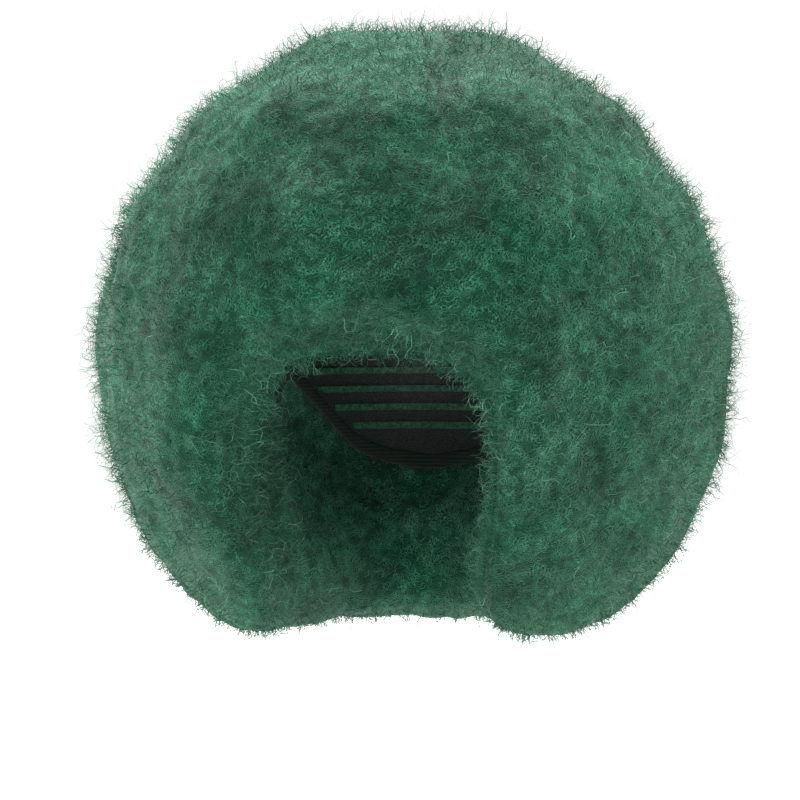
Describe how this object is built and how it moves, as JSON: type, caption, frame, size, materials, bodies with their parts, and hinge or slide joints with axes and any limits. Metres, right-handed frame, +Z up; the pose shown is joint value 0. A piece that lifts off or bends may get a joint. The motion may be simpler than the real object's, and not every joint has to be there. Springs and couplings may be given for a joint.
{
  "type": "afro wig",
  "caption": "Large round afro wig in its worn form: ball of short tight curls on a stretch cap, open for face and neck.",
  "frame": {"origin": "inner top of the cap, where the crown of the head touches it", "axes": "+Z up, the wearer faces -Y, +X to the wearer's left"},
  "size_m": [0.4128, 0.3874, 0.3942],
  "materials": {
    "hair": "matt crimped synthetic hair, dark green",
    "net": "matt stretch net with sewn rows of hair",
    "tape": "soft woven elastic"
  },
  "bodies": {
    "root": {"cap": "net", "edge_band": "tape", "crown_hair": "hair", "fringe": "hair", "left_side_hair": "hair", "right_side_hair": "hair", "back_hair": "hair"}
  },
  "joints": []
}
